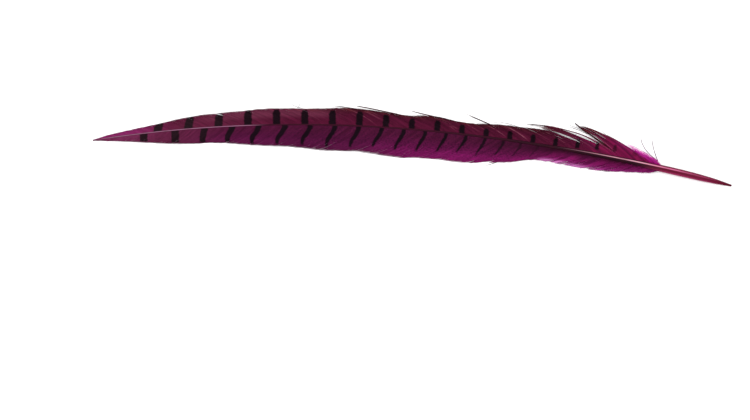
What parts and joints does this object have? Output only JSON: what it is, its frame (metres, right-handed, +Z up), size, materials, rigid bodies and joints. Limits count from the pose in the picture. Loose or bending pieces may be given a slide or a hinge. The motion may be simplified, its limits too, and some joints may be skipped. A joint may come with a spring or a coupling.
{
  "type": "pheasant tail feather",
  "caption": "Long barred tail feather dyed magenta, lying flat, with a bare quill, a tapering shaft, a wide and a narrow vane of barbs, and soft down at the base.",
  "frame": {"origin": "middle of the bounding box at its base, on the surface that the feather lies on", "axes": "+X from the tip towards the quill's end, +Y towards the narrow vane, outside the shaft's sideways bow, +Z up from the surface"},
  "size_m": [0.4104, 0.0332, 0.0046],
  "materials": {
    "vane": "barbs dyed dark magenta over brown, with near-black bars and a silky sheen",
    "shaft": "smooth horn dyed wine red, paler along its crest, a little see-through at the quill",
    "down": "soft loose barbs dyed bright magenta"
  },
  "bodies": {
    "root": {"feather": "vane"}
  },
  "joints": []
}
